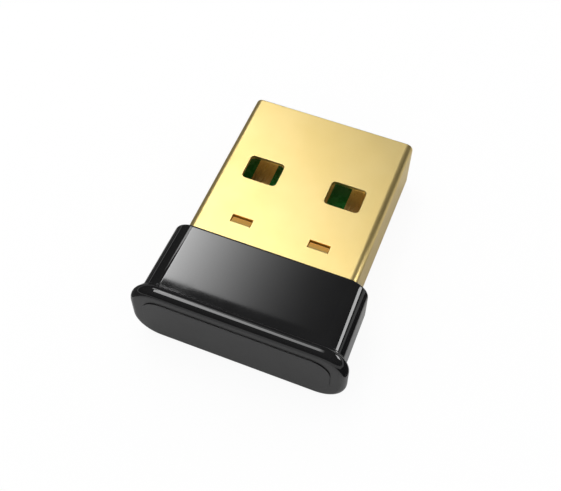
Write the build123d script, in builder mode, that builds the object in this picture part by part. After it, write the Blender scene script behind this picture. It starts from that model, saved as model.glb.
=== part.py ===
import os
from math import cos, radians, sin

from build123d import *

os.makedirs("parts", exist_ok=True)

# A nano-size wireless adapter. Y is the plug's axis, towards the mouth, and Z points up,
# on the side of the plug's contacts. The origin lies on the plug's axis, in the plane of
# the cap's front shoulder. All lengths are in millimetres.

# Plug shell
shell_width = 12.0
shell_height = 4.5
sheet = 0.3
shell_edge_radius = 0.5
least_bend_radius = 0.05
plug_length = 12.2
shell_depth_in_cap = 3.2
mouth_rounding = 0.1
window_spacing = 6.05
window_width = 2.52
window_length = 2.03
window_corner = 0.3
window_from_mouth = 6.09
slot_spacing = 5.53
slot_width = 1.47
slot_length = 0.65
slot_from_shoulder = 1.65
tab_kerf = 0.05
tab_angle = 32.0
tab_length = 0.62
seam_gap = 0.06
seam_key_reach = 1.1
seam_key_width = 1.5
seam_key_neck = 0.9

# Cap
cap_depth = 6.1
cap_fit = 0.03
cap_side_wall = 0.875
cap_front_wall = 0.21
cap_rise = 0.107
cap_side_rise = 0.075
cap_corner_radius = 1.45
cap_front_rounding = 0.2
least_land = 0.01
lip_side_overhang = 0.545
lip_top_overhang = 0.168
lip_corner_radius = 2.0
bead_radius = 0.5
lip_land = 0.06
panel_side_margin = 1.025
panel_top_margin = 0.945
panel_corner_radius = 1.3
panel_proud = 0.07
end_wall = 0.97
stop_side_step = 0.3
stop_top_step = 0.4
cavity_corner_radius = 0.4
ledge_width = 0.7
ledge_length = 1.4
shell_stop_gap = 0.05

# Circuit board and its contacts
copper = 0.04
board_thickness = 0.6
board_corner = 0.4
board_to_end_wall = 0.18
outer_contact_width = 1.4
inner_contact_width = 1.1
outer_contact_spacing = 7.1
inner_contact_spacing = 2.0
outer_contact_start = 1.3
inner_contact_start = 2.3
contact_end = 9.1
contact_corner = 0.2

# Tongue carrier
carrier_fit = 0.03
carrier_setback = 0.55
carrier_floor = 0.69
carrier_front_wall = 0.3
carrier_front_land = 0.12
carrier_rail = 0.44
carrier_block_length = 3.4
carrier_inset = 0.2
board_slide_fit = 0.03
tab_recess_margin = 0.12

# Electronic parts on the board
part_gap = 0.35
pocket_clearance = 0.15
pocket_headroom = 0.04
lead_height = 0.03
chip_size = 5.0
chip_height = 0.5
chip_lead_pitch = 0.5
chip_lead_width = 0.25
chip_lead_length = 0.4
chip_lead_margin = 0.75
chip_from_shoulder = 4.9
memory_length = 3.0
memory_width = 2.0
memory_height = 0.47
crystal_length = 2.0
crystal_width = 1.6
crystal_base_height = 0.3
crystal_lid_height = 0.2
crystal_lid_margin = 0.12
inductor_length = 2.0
inductor_width = 1.6
inductor_height = 0.55
medium_length = 1.6
medium_width = 0.8
medium_height = 0.5
small_length = 1.0
small_width = 0.5
small_height = 0.45
resistor_height = 0.35
large_length = 2.0
large_width = 1.25
large_height = 0.85
terminal_length = 0.25
terminal_step = 0.02
regulator_length = 2.0
regulator_width = 1.25
regulator_height = 0.9
regulator_span = 2.1
regulator_lead_width = 0.22
regulator_lead_pitch = 0.65
regulator_standoff = 0.1
marking_depth = 0.05
marking_radius = 0.2
marking_inset = 0.6
antenna_width = 0.35
antenna_pitch = 0.9
antenna_side_margin = 1.1
antenna_reach = 1.15
antenna_gap = 0.25
antenna_from_edge = 0.25
solder_length = 1.2
solder_height = 0.4
solder_on_board = 0.3
solder_setback = 0.3
solder_hollow = 0.3

# Levels and places that follow from the sizes above
inner_width = shell_width - 2 * sheet
inner_height = shell_height - 2 * sheet
inner_edge_radius = max(shell_edge_radius - sheet, least_bend_radius)
cap_front_width = shell_width + 2 * (cap_fit + cap_side_wall)
cap_rear_width = cap_front_width + 2 * cap_side_rise
cap_front_height = shell_height + 2 * (cap_fit + cap_front_wall)
cap_rear_height = cap_front_height + 2 * cap_rise
lip_width = cap_rear_width + 2 * lip_side_overhang
lip_height = cap_rear_height + 2 * lip_top_overhang
panel_width = lip_width - 2 * panel_side_margin
panel_height = lip_height - 2 * panel_top_margin
cavity_width = shell_width - 2 * stop_side_step
cavity_height = shell_height - 2 * stop_top_step
carrier_width = inner_width - 2 * carrier_fit
board_width = carrier_width - 2 * (carrier_rail + carrier_fit)
carrier_top = inner_height / 2 - carrier_fit
tallest_part = max(
    chip_height + lead_height,
    memory_height + lead_height,
    crystal_base_height + crystal_lid_height,
    inductor_height,
    medium_height,
    small_height,
    resistor_height,
)
pocket_floor = carrier_floor - carrier_top
board_bottom = pocket_floor + pocket_headroom + tallest_part
board_top = board_bottom + board_thickness
contact_top = board_top + copper
carrier_front = plug_length - carrier_setback
board_front = carrier_front - carrier_front_wall
cavity_end = -(cap_depth - end_wall)
board_rear = cavity_end + board_to_end_wall
window_y = plug_length - window_from_mouth
slot_near = slot_from_shoulder - slot_length / 2
tab_run = tab_length * cos(radians(tab_angle))
tab_drop = tab_length * sin(radians(tab_angle))
tab_sheet_run = sheet * sin(radians(tab_angle))
tab_sheet_drop = sheet * cos(radians(tab_angle))
tab_recess_depth = tab_drop + tab_sheet_drop - sheet - carrier_fit + tab_recess_margin
shell_rear = -shell_depth_in_cap
carrier_end = shell_rear + carrier_inset
antenna_rear = board_rear + antenna_from_edge + antenna_width / 2
antenna_near = antenna_rear + antenna_reach
row_y = antenna_near + antenna_width / 2 + antenna_gap + regulator_span / 2
carrier_block_end = row_y + regulator_span / 2 + part_gap
carrier_block_start = carrier_block_end + carrier_block_length


def across(y):
    """The plane across the plug's axis at this place, with its sketch facing the cap's end."""
    return Plane.XZ.offset(-y)


def finish(piece, name):
    """Label one finished piece and write it."""
    piece.part.label = name
    export_step(piece.part, f"parts/{name}.step")


# Plug shell: a folded sheet tube with its seam below, windows above and below, and lanced
# tabs that hold the carrier
with BuildPart() as plug_shell:
    with BuildSketch(across(plug_length)):
        RectangleRounded(shell_width, shell_height, shell_edge_radius)
    extrude(amount=plug_length - shell_rear)
    fillet(plug_shell.edges().group_by(Axis.Y)[-1], min(mouth_rounding, sheet / 2 - least_bend_radius))
    with BuildSketch(across(plug_length)):
        RectangleRounded(inner_width, inner_height, inner_edge_radius)
    extrude(amount=plug_length - shell_rear, mode=Mode.SUBTRACT)
    with BuildSketch(Plane.XY):
        with Locations((0, window_y)):
            with GridLocations(window_spacing, 0, 2, 1):
                RectangleRounded(window_width, window_length, window_corner)
        with Locations((0, slot_from_shoulder)):
            with GridLocations(slot_spacing, 0, 2, 1):
                Rectangle(slot_width, slot_length)
    extrude(amount=shell_height, both=True, mode=Mode.SUBTRACT)
    # The seam runs along the underside, with one dovetail key that locks its two sides
    seam_key_y = (slot_from_shoulder + window_y) / 2
    with BuildSketch(Plane.XY.offset(-shell_height)):
        with BuildLine():
            Polyline(
                (0, shell_rear - sheet),
                (0, seam_key_y - seam_key_neck / 2),
                (seam_key_reach, seam_key_y - seam_key_width / 2),
                (seam_key_reach, seam_key_y + seam_key_width / 2),
                (0, seam_key_y + seam_key_neck / 2),
                (0, plug_length + sheet),
            )
        trace(line_width=seam_gap)
    extrude(amount=shell_height, mode=Mode.SUBTRACT)
    # The tabs are cut free on three sides of each slot and bent inwards
    for side in (-1, 1):
        tab_centre = side * slot_spacing / 2
        tab_plane = Plane.YZ.offset(tab_centre)
        with BuildSketch(tab_plane):
            with BuildLine():
                Polyline(
                    (slot_near, shell_height / 2),
                    (slot_near + tab_run, shell_height / 2 - tab_drop),
                    (slot_near + tab_run - tab_sheet_run, shell_height / 2 - tab_drop - tab_sheet_drop),
                    (slot_near, inner_height / 2),
                    (slot_near - sheet, inner_height / 2),
                    (slot_near - sheet, shell_height / 2),
                    close=True,
                )
            make_face()
            mirror(about=Plane.XZ)
        extrude(amount=slot_width / 2 - tab_kerf, both=True)
finish(plug_shell, "plug_shell")


def rounded_section(y, width, height, corner):
    """One rounded section across the axis."""
    with BuildSketch(across(y)) as section:
        RectangleRounded(width, height, corner)
    return section.sketch


# Cap: one hollow moulding. Its plain body grows a little towards the back, where a lip with a
# full round edge stands out all round.
lip_thickness = 2 * bead_radius + lip_land
lip_front = -(cap_depth - lip_thickness)
body_front = rounded_section(0, cap_front_width, cap_front_height, cap_corner_radius)
body_rear = rounded_section(lip_front - bead_radius, cap_rear_width, cap_rear_height, cap_corner_radius)
with BuildPart() as rear_cap:
    extrude(rounded_section(lip_front, lip_width, lip_height, lip_corner_radius), amount=lip_thickness)
    fillet(rear_cap.edges().group_by(Axis.Y)[0], bead_radius)
    fillet(rear_cap.edges().group_by(Axis.Y)[-1], bead_radius)
    loft([body_front, body_rear], ruled=True)
    fillet(rear_cap.edges().group_by(Axis.Y)[-1], min(cap_front_rounding, cap_front_wall - least_land))
    extrude(rounded_section(-cap_depth, panel_width, panel_height, panel_corner_radius), amount=panel_proud)
    # The pocket takes the shell, and the cavity behind it the end of the board
    pocket = rounded_section(
        0, shell_width + 2 * cap_fit, shell_height + 2 * cap_fit, shell_edge_radius + cap_fit
    )
    extrude(pocket, amount=shell_depth_in_cap + shell_stop_gap, mode=Mode.SUBTRACT)
    cavity = rounded_section(0, cavity_width, cavity_height, cavity_corner_radius)
    extrude(cavity, amount=-cavity_end, mode=Mode.SUBTRACT)
    # Two ledges inside carry the end of the board
    ledge_height = cavity_height / 2 + board_bottom
    with BuildSketch(Plane.XY.offset(-cavity_height / 2)):
        with Locations((0, cavity_end + ledge_length / 2)):
            with GridLocations(cavity_width - ledge_width, 0, 2, 1):
                Rectangle(ledge_width, ledge_length)
    extrude(amount=ledge_height)
finish(rear_cap, "rear_cap")


# Circuit board
with BuildPart() as circuit_board:
    with BuildSketch(Plane.XY.offset(board_bottom)) as board_outline:
        with Locations((0, (board_front + board_rear) / 2)):
            Rectangle(board_width, board_front - board_rear)
        chamfer(board_outline.vertices().group_by(Axis.Y)[-1], board_corner)
    extrude(amount=board_thickness)
finish(circuit_board, "circuit_board")


def contact(place, width, start):
    """A plated contact on the board, from its start behind the mouth to the contacts' end."""
    front = plug_length - start
    rear = plug_length - contact_end
    with BuildPart() as pad:
        with BuildSketch(Plane.XY.offset(board_top)):
            with Locations((place, (front + rear) / 2)):
                RectangleRounded(width, front - rear, contact_corner)
        extrude(amount=copper)
    return pad


finish(contact(-outer_contact_spacing / 2, outer_contact_width, outer_contact_start), "contact_vbus")
finish(contact(-inner_contact_spacing / 2, inner_contact_width, inner_contact_start), "contact_data_minus")
finish(contact(inner_contact_spacing / 2, inner_contact_width, inner_contact_start), "contact_data_plus")
finish(contact(outer_contact_spacing / 2, outer_contact_width, outer_contact_start), "contact_ground")


def under(x, y):
    """The seat of a part below the board, facing away from it."""
    return Plane(origin=(x, y, board_bottom), x_dir=(1, 0, 0), z_dir=(0, 0, -1))


def upon(x, y):
    """The seat of a part on top of the board."""
    return Plane(origin=(x, y, board_top), x_dir=(1, 0, 0), z_dir=(0, 0, 1))


def block(size_x, size_y, height, level=0.0):
    """Add a box that stands at this level above the seat."""
    with Locations((0, 0, level + height / 2)):
        Box(size_x, size_y, height)


def chip_part(seat, length, width, height, lengthwise=True):
    """A ceramic chip with a metal terminal at each end, along Y or along X."""
    size_x, size_y = (width, length) if lengthwise else (length, width)
    apart = length - terminal_length
    step_x, step_y = (0, apart) if lengthwise else (apart, 0)
    end_x, end_y = (width, terminal_length) if lengthwise else (terminal_length, width)
    with BuildPart(seat) as piece:
        body_x, body_y, body_height = (size - 2 * terminal_step for size in (size_x, size_y, height))
        block(body_x, body_y, body_height, terminal_step)
        for end in (-1, 1):
            with Locations((end * step_x / 2, end * step_y / 2, height / 2)):
                Box(end_x, end_y, height)
    return piece


def lead_count(side):
    """How many leads stand along a package side of this length."""
    return int((side - 2 * chip_lead_margin) / chip_lead_pitch) + 1


def leadless_chip(seat, size_x, size_y, height, four_sided):
    """A flat package with leads flush along its edges and a dimple at its first lead."""
    with BuildPart(seat) as package:
        block(size_x, size_y, height, lead_height)
        lead_x = (size_x - chip_lead_length) / 2
        lead_y = (size_y - chip_lead_length) / 2
        for end in (-1, 1):
            with Locations((0, end * lead_y, lead_height / 2)):
                with GridLocations(chip_lead_pitch, 0, lead_count(size_x), 1):
                    Box(chip_lead_width, chip_lead_length, lead_height)
            if four_sided:
                with Locations((end * lead_x, 0, lead_height / 2)):
                    with GridLocations(0, chip_lead_pitch, 1, lead_count(size_y)):
                        Box(chip_lead_length, chip_lead_width, lead_height)
        with Locations((marking_inset - size_x / 2, size_y / 2 - marking_inset, height + lead_height)):
            Cylinder(marking_radius, 2 * marking_depth, mode=Mode.SUBTRACT)
    return package


# Parts below the board: the radio chip in the middle, its memory in front of it, and a
# column of small parts along each side
memory_y = chip_from_shoulder + (chip_size + memory_width) / 2 + part_gap
chip_seat = under(0, chip_from_shoulder)
memory_seat = under(0, memory_y)
finish(leadless_chip(chip_seat, chip_size, chip_size, chip_height, True), "bluetooth_chip")
finish(leadless_chip(memory_seat, memory_length, memory_width, memory_height, False), "memory_chip")
widest_small_part = max(crystal_width, inductor_width, medium_width, small_width)
column_x = (max(chip_size, memory_length) + widest_small_part) / 2 + part_gap
left_column = (
    ("crystal", crystal_length, crystal_width, crystal_base_height + crystal_lid_height),
    ("crystal_capacitor_in", small_length, small_width, small_height),
    ("crystal_capacitor_out", small_length, small_width, small_height),
    ("bias_resistor", small_length, small_width, resistor_height),
    ("reset_resistor", small_length, small_width, resistor_height),
)
right_column = (
    ("radio_capacitor", small_length, small_width, small_height),
    ("core_capacitor", small_length, small_width, small_height),
    ("power_inductor", inductor_length, inductor_width, inductor_height),
    ("supply_capacitor", medium_length, medium_width, medium_height),
    ("usb_ferrite", medium_length, medium_width, medium_height),
)


def column_length(column):
    """The length of a column of parts with the gaps between them."""
    return sum(entry[1] for entry in column) + part_gap * (len(column) - 1)


pocket_rear = chip_from_shoulder - chip_size / 2
group_length = max(
    column_length(left_column), column_length(right_column), memory_y + memory_width / 2 - pocket_rear
)
for side, column in ((-1, left_column), (1, right_column)):
    next_y = pocket_rear
    for name, length, width, height in column:
        seat = under(side * column_x, next_y + length / 2)
        if name == "crystal":
            with BuildPart(seat) as crystal:
                block(width, length, crystal_base_height)
                block(
                    width - 2 * crystal_lid_margin,
                    length - 2 * crystal_lid_margin,
                    crystal_lid_height,
                    crystal_base_height,
                )
            finish(crystal, name)
        else:
            finish(chip_part(seat, length, width, height), name)
        next_y += length + part_gap

# Parts on top of the board, inside the cap: one row behind the carrier, then the antenna
row = (
    ("antenna_capacitor", small_length),
    ("antenna_inductor", small_length),
    ("voltage_regulator", regulator_length),
    ("input_capacitor", large_length),
)
row_length = sum(length for name, length in row) + part_gap * (len(row) - 1)
next_x = -row_length / 2
row_x = {}
for name, length in row:
    row_x[name] = next_x + length / 2
    next_x += length + part_gap
with BuildPart(upon(row_x["voltage_regulator"], row_y)) as voltage_regulator:
    block(regulator_length, regulator_width, regulator_height - regulator_standoff, regulator_standoff)
    chamfer(voltage_regulator.faces().sort_by(Axis.Z)[-1].edges(), regulator_standoff)
    lead_run = regulator_span / 2
    for end, pitch, leads in ((-1, regulator_lead_pitch, 3), (1, 2 * regulator_lead_pitch, 2)):
        with Locations((0, end * lead_run / 2, regulator_standoff)):
            with GridLocations(pitch, 0, leads, 1):
                Box(regulator_lead_width, lead_run, 2 * regulator_standoff)
finish(voltage_regulator, "voltage_regulator")
for name in ("antenna_capacitor", "antenna_inductor"):
    finish(chip_part(upon(row_x[name], row_y), small_length, small_width, small_height, False), name)
finish(
    chip_part(upon(row_x["input_capacitor"], row_y), large_length, large_width, large_height, False),
    "input_capacitor",
)

# Antenna: one printed track that runs out from its matching parts and folds to and fro
antenna_run = antenna_near + antenna_width + antenna_gap
feed_x = row_x["antenna_inductor"] - (small_length - terminal_length) / 2
antenna_folds = int((board_width - 2 * antenna_side_margin) / antenna_pitch) + 1
fold_x = -(antenna_folds - 1) * antenna_pitch / 2
antenna_points = [(feed_x, row_y - small_width / 2), (feed_x, antenna_run), (fold_x, antenna_run)]
for fold in range(antenna_folds):
    outwards = fold % 2 == 0
    if fold:
        antenna_points.append((fold_x, antenna_near if outwards else antenna_rear))
    antenna_points.append((fold_x, antenna_rear if outwards else antenna_near))
    fold_x += antenna_pitch
with BuildPart() as antenna_trace:
    with BuildSketch(Plane.XY.offset(board_top)):
        with BuildLine():
            Polyline(*antenna_points)
        trace(line_width=antenna_width)
    extrude(amount=copper)
finish(antenna_trace, "antenna_trace")

# Solder between the board's edges and the shell, just inside the shell's rear end
solder_front = shell_rear + solder_setback + solder_length
for side, name in ((-1, "shell_solder_left"), (1, "shell_solder_right")):
    with BuildPart() as shell_solder:
        with BuildSketch(across(solder_front)):
            with BuildLine():
                toe_x = board_width / 2 - solder_on_board
                hollow_x = inner_width / 2 - solder_hollow * (inner_width / 2 - toe_x)
                Polyline(
                    (side * toe_x, board_top),
                    (side * inner_width / 2, board_top),
                    (side * inner_width / 2, board_top + solder_height),
                    (side * hollow_x, board_top + solder_hollow * solder_height),
                    close=True,
                )
            make_face()
        extrude(amount=solder_length)
    finish(shell_solder, name)

# Carrier: a tray under the board with a rail along each side and a front wall, and a
# full-height block that the board slides through. Its top and underside have recesses for
# the shell's tabs, and the parts below the board hang in its pocket.
above = shell_height
channel_front = board_front + board_slide_fit


def room(low_y, high_y, width, low_z, high_z):
    """Cut a box that is centred across the axis."""
    with BuildSketch(Plane.XY.offset(low_z)) as plan:
        with Locations((0, (low_y + high_y) / 2)):
            Rectangle(width, high_y - low_y)
    extrude(plan.sketch, amount=high_z - low_z, mode=Mode.SUBTRACT)


with BuildPart() as tongue_carrier:
    carrier_section = rounded_section(carrier_front, carrier_width, 2 * carrier_top, inner_edge_radius)
    extrude(carrier_section, amount=carrier_front - carrier_end)
    room(carrier_block_start, carrier_front, shell_width, board_top, above)
    room(carrier_end, carrier_block_end, shell_width, board_bottom, above)
    room(carrier_end, channel_front, board_width + 2 * carrier_fit, board_bottom, board_top)
    room(
        carrier_block_end,
        carrier_block_start,
        board_width + 2 * carrier_fit,
        board_top,
        contact_top + board_slide_fit,
    )
    room(
        pocket_rear - pocket_clearance,
        pocket_rear + group_length + pocket_clearance,
        2 * column_x + widest_small_part + 2 * pocket_clearance,
        pocket_floor,
        board_bottom,
    )
    front_edge = tongue_carrier.faces().filter_by(Axis.Y).sort_by(Axis.Y)[-1].edges().sort_by(Axis.Z)[-1]
    chamfer(front_edge, carrier_front_wall - carrier_front_land)
    for level in (carrier_top - tab_recess_depth, -carrier_top):
        with BuildSketch(Plane.XY.offset(level)):
            with Locations((0, slot_from_shoulder)):
                with GridLocations(slot_spacing, 0, 2, 1):
                    Rectangle(slot_width + 2 * tab_recess_margin, slot_length + 2 * tab_recess_margin)
        extrude(amount=tab_recess_depth, mode=Mode.SUBTRACT)
finish(tongue_carrier, "tongue_carrier")
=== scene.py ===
# %% [markdown]
# # A nano-size wireless adapter
# The part is a gold-plated plug with a small black cap, made to stay in a computer's port.
# The solid model is the frame for everything here. It is loaded first, because each piece
# takes its place from it, and at the end the box of the dressed part is printed.

# %% Load the solid model
import math

import bmesh
import bpy
from mathutils import Matrix, Vector


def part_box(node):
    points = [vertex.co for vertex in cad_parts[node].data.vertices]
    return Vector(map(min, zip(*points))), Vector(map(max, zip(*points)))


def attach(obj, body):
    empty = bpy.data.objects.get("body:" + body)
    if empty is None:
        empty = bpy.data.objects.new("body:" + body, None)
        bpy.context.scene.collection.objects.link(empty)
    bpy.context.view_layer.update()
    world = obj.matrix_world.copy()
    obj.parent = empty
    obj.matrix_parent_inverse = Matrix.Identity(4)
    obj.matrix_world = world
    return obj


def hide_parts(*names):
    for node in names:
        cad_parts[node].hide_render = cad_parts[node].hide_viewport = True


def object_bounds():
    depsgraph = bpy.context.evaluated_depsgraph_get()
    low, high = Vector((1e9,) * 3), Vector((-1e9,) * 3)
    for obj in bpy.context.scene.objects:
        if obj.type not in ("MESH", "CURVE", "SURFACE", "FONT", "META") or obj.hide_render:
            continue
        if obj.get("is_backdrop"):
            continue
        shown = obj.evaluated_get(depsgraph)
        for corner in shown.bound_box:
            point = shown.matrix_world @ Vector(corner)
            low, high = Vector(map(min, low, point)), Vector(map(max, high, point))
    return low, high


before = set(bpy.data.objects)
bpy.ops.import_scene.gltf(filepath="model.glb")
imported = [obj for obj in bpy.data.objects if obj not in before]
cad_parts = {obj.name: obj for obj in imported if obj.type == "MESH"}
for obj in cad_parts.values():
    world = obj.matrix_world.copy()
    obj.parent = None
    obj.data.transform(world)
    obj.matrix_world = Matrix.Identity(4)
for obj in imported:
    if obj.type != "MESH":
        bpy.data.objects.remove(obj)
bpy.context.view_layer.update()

# %% [markdown]
# ## Working in millimetres
# The parts are a few millimetres long and some edges are rounded by hundredths, which is
# too small for some mesh tools when a unit is a metre. Each new piece is therefore modelled
# in millimetres and brought to metres when it is finished. Its place is in its mesh, so its
# object stays at the origin, like the solid model's own nodes.

# %% Turn a finished mesh into a piece
MM = 0.001


def finish_piece(name, mesh, node, sharp_angle=35.0):
    """Bring a mesh from millimetres to metres and let it stand for one node of the solid model."""
    mesh.name = name
    mesh.transform(Matrix.Scale(MM, 4))
    mesh.shade_smooth()
    mesh.set_sharp_from_angle(angle=math.radians(sharp_angle))
    piece = bpy.data.objects.new(name, mesh)
    bpy.context.scene.collection.objects.link(piece)
    flats = piece.modifiers.new("flats_stay_flat", "WEIGHTED_NORMAL")
    flats.keep_sharp = True
    flats.weight = 90
    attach(piece, "root")
    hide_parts(node)
    print(name, "has", len(mesh.polygons), "faces")
    return piece


# %% [markdown]
# ## Rounded outlines
# The plug and the cap are both rounded rectangles across the plug's axis. One outline is
# a square that is stretched and has its four corners bevelled. A skin is a row of outlines
# bridged one to the next, which gives even rows of faces and exact corners everywhere.

# %% Make outlines and bridge them
CORNER_STEPS = 14


def outline(bm, y, half_width, half_height, corner):
    """A closed loop of edges across the axis, at this place along it."""
    square = bmesh.ops.create_grid(bm, x_segments=1, y_segments=1, size=1.0)["verts"]
    bmesh.ops.scale(bm, vec=(half_width, half_height, 1.0), verts=square)
    rounded = bmesh.ops.bevel(bm, geom=square, offset=corner, offset_type="OFFSET",
                              segments=CORNER_STEPS, profile=0.5, affect="VERTICES", material=-1)
    face = rounded["verts"][0].link_faces[0]
    points, edges = list(face.verts), list(face.edges)
    bmesh.ops.delete(bm, geom=[face], context="FACES_ONLY")
    bmesh.ops.rotate(bm, cent=(0, 0, 0), matrix=Matrix.Rotation(math.radians(90), 3, "X"), verts=points)
    bmesh.ops.translate(bm, vec=(0, y, 0), verts=points)
    return edges


def skin(bm, stations, closed=False):
    """Bridge outlines given as (place, half width, half height, corner radius)."""
    loops = [outline(bm, *station) for station in stations]
    for first, second in zip(loops, loops[1:] + (loops[:1] if closed else [])):
        bmesh.ops.bridge_loops(bm, edges=first + second)
    return loops


# %% [markdown]
# ## The plug's shell
# The real shell is one strip of gold-plated sheet, 0.3 mm thick, folded round into a tube.
# Its skin runs along the outside, round the mouth's rolled edge and back along the inside.
# The edges of the fold are rounded by 0.5 mm, so the gold turns through many reflections
# there, and this is why the outlines have so many corner steps.

# %% Shell tube
shell_half_width, shell_half_height = 6.0, 2.25
sheet, edge_radius, inner_radius = 0.3, 0.5, 0.2
mouth_y, shell_rear_y = 12.2, -3.2
mouth_rounding, inner_mouth_rounding = 0.1, 0.05


def shell_station(y, inset, radius=None):
    """An outline of the shell, this far inside its outer surface."""
    corner = max(edge_radius - inset, inner_radius) if radius is None else radius
    return (y, shell_half_width - inset, shell_half_height - inset, corner)


stations = [shell_station(shell_rear_y, 0.02), shell_station(shell_rear_y + 0.02, 0.0)]
for turn in range(0, 91, 15):
    angle = math.radians(turn)
    back = mouth_rounding * (1 - math.sin(angle))
    stations.append(shell_station(mouth_y - back, mouth_rounding * (1 - math.cos(angle))))
for turn in range(90, -1, -30):
    angle = math.radians(turn)
    inset = sheet - inner_mouth_rounding * (1 - math.cos(angle))
    stations.append(shell_station(mouth_y - inner_mouth_rounding * (1 - math.sin(angle)), inset))
stations.append(shell_station(shell_rear_y, sheet))
bm = bmesh.new()
skin(bm, stations, closed=True)
bmesh.ops.recalc_face_normals(bm, faces=bm.faces)
tube_mesh = bpy.data.meshes.new("shell_tube")
bm.to_mesh(tube_mesh)
bm.free()
tube = bpy.data.objects.new("shell_tube", tube_mesh)
bpy.context.scene.collection.objects.link(tube)
print("shell tube:", len(stations), "outlines,", len(tube_mesh.polygons), "faces")

# %% [markdown]
# ## Windows, slots and seam
# The press cuts two windows and two small slots in the top and the same in the underside,
# where the port's springs and the carrier's holding tabs go. The strip's two edges meet in
# a seam along the underside, locked by a dovetail. Cutters for all of them are simple
# blocks, taken away from the tube with a Boolean, and a fine Bevel then breaks the sheared
# edges as the press does.

# %% Cut the openings
window_spacing, window_size, window_y, window_corner = 6.05, (2.52, 2.03), 6.11, 0.3
slot_spacing, slot_size, slot_y = 5.53, (1.47, 0.65), 1.65
seam_gap, key_reach, key_half_width, key_half_neck = 0.06, 1.1, 0.75, 0.45
key_y = (slot_y + window_y) / 2
cutters = bmesh.new()
for spacing, size, y, corner in ((window_spacing, window_size, window_y, window_corner),
                                 (slot_spacing, slot_size, slot_y, 0.04)):
    for side in (-1, 1):
        block = bmesh.ops.create_grid(cutters, x_segments=1, y_segments=1, size=0.5)["verts"]
        bmesh.ops.scale(cutters, vec=(size[0], size[1], 1.0), verts=block)
        rounded = bmesh.ops.bevel(cutters, geom=block, offset=corner, offset_type="OFFSET",
                                  segments=6, profile=0.5, affect="VERTICES", material=-1)
        face = rounded["verts"][0].link_faces[0]
        bmesh.ops.translate(cutters, vec=(side * spacing / 2, y, -4.0), verts=face.verts)
        raised = bmesh.ops.extrude_face_region(cutters, geom=[face], use_keep_orig=True)
        top = [part for part in raised["geom"] if isinstance(part, bmesh.types.BMVert)]
        bmesh.ops.translate(cutters, vec=(0, 0, 8.0), verts=top)
seam_line = ((0, shell_rear_y - 1), (0, key_y - key_half_neck), (key_reach, key_y - key_half_width),
             (key_reach, key_y + key_half_width), (0, key_y + key_half_neck), (0, mouth_y + 1))
seam_points = [cutters.verts.new((x - seam_gap / 2, y, -4.0)) for x, y in seam_line]
seam_edges = [cutters.edges.new(pair) for pair in zip(seam_points, seam_points[1:])]
raised = bmesh.ops.extrude_edge_only(cutters, edges=seam_edges)["geom"]
top = [part for part in raised if isinstance(part, bmesh.types.BMVert)]
bmesh.ops.translate(cutters, vec=(0, 0, 3.0), verts=top)
wall = [part for part in raised if isinstance(part, bmesh.types.BMFace)]
bmesh.ops.solidify(cutters, geom=wall, thickness=seam_gap)
bmesh.ops.recalc_face_normals(cutters, faces=cutters.faces)
cutter_mesh = bpy.data.meshes.new("shell_cutters")
cutters.to_mesh(cutter_mesh)
cutters.free()
cutter = bpy.data.objects.new("shell_cutters", cutter_mesh)
bpy.context.scene.collection.objects.link(cutter)
cut = tube.modifiers.new("openings", "BOOLEAN")
cut.object = cutter
cut.operation = "DIFFERENCE"
cut.solver = "EXACT"
broken = tube.modifiers.new("sheared_edges", "BEVEL")
broken.width = 0.025
broken.segments = 2
broken.limit_method = "ANGLE"
broken.angle_limit = math.radians(50)
bpy.context.view_layer.update()
cut_mesh = bpy.data.meshes.new_from_object(tube.evaluated_get(bpy.context.evaluated_depsgraph_get()))
bpy.data.objects.remove(tube)
bpy.data.objects.remove(cutter)
print("cut shell:", len(cut_mesh.polygons), "faces")

# %% [markdown]
# ## Holding tabs
# At each slot a tongue of the sheet stays joined on the cap's side and is bent inwards, to
# bite on the carrier. A tab starts as one edge, which is drawn out step by step while it
# turns, and then gets the sheet's thickness. The same steps make all four tabs, with only
# the side and the face of the plug changed.

# %% Bend the tabs
tab_side_gap, tab_overlap, tab_sink = 0.05, 0.03, 0.002
tab_angle, tab_reach, tab_bend, bend_steps = 19.0, 0.63, 0.08, 4
tab_half_width = slot_size[0] / 2 - tab_side_gap
tab_root_y = slot_y - slot_size[1] / 2 - tab_overlap
bm = bmesh.new()
bm.from_mesh(cut_mesh)
for side in (-1, 1):
    for face_side in (-1, 1):
        centre = side * slot_spacing / 2
        level = face_side * (shell_half_height - tab_sink)
        ends = [bm.verts.new((centre + end * tab_half_width, tab_root_y, level)) for end in (-1, 1)]
        edge = bm.edges.new(ends)
        tab_faces = []
        for step in range(bend_steps + 1):
            angle = math.radians(tab_angle) * min(1.0, step / bend_steps)
            run = tab_reach - tab_bend if step == bend_steps else tab_bend / bend_steps
            drawn = bmesh.ops.extrude_edge_only(bm, edges=[edge])["geom"]
            points = [part for part in drawn if isinstance(part, bmesh.types.BMVert)]
            tab_faces += [part for part in drawn if isinstance(part, bmesh.types.BMFace)]
            move = (0, run * math.cos(angle), -face_side * run * math.sin(angle))
            bmesh.ops.translate(bm, vec=move, verts=points)
            edge = next(part for part in drawn if isinstance(part, bmesh.types.BMEdge)
                        and all(point in points for point in part.verts))
        bmesh.ops.recalc_face_normals(bm, faces=tab_faces)
        upwards = tab_faces[0].normal.z * face_side > 0
        if not upwards:
            bmesh.ops.reverse_faces(bm, faces=tab_faces)
        bmesh.ops.solidify(bm, geom=tab_faces, thickness=sheet - 2 * tab_sink)
shell_mesh = bpy.data.meshes.new("plug_tube")
bm.to_mesh(shell_mesh)
bm.free()
plug_tube = finish_piece("plug_tube", shell_mesh, "plug_shell")

# %% [markdown]
# ## The cap
# The cap is one glossy moulding. Its plain body grows a little towards the back, where a lip
# with a full round edge stands out all round, as something for a fingernail to pull on. The
# end is flat and has a raised panel. These curves carry the highlights that give the part its
# look, so the skin follows true arcs, and a small hollow joins the lip to the body.

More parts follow.
